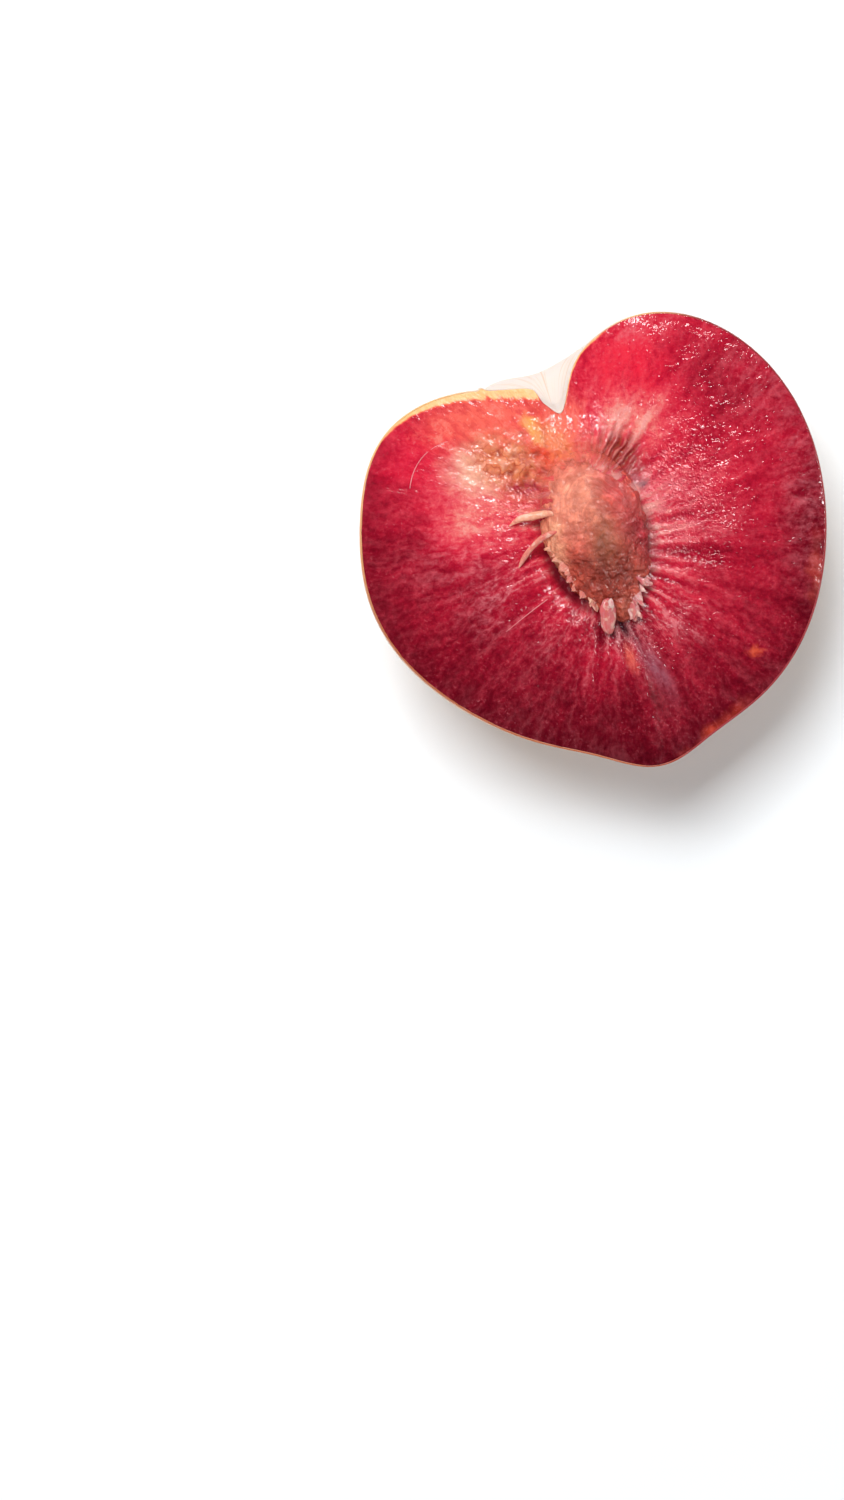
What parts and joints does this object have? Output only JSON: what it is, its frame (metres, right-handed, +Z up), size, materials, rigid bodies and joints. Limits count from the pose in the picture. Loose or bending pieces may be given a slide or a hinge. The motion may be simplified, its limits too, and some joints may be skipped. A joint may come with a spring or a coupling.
{
  "type": "plum half",
  "caption": "Half of a red-fleshed plum with yellow skin, cut face up, its stone still in place with torn fibres round it, lying on its rounded back.",
  "frame": {"origin": "on the small flat that the half rests on, straight below the middle of the cut face", "axes": "+Z up, out of the floor and through the cut face; +Y to the stem end of the fruit; +X to the right as seen from above"},
  "size_m": [0.0598, 0.0582, 0.0314],
  "materials": {
    "flesh": "wet cut flesh, deep red with paler streaks that run out from the stone",
    "stone": "pitted stone covered with moist fibres",
    "skin": "thin amber-yellow skin with a waxy bloom"
  },
  "bodies": {
    "root": {"plum_flesh": "flesh", "plum_stone": "stone"}
  },
  "joints": []
}
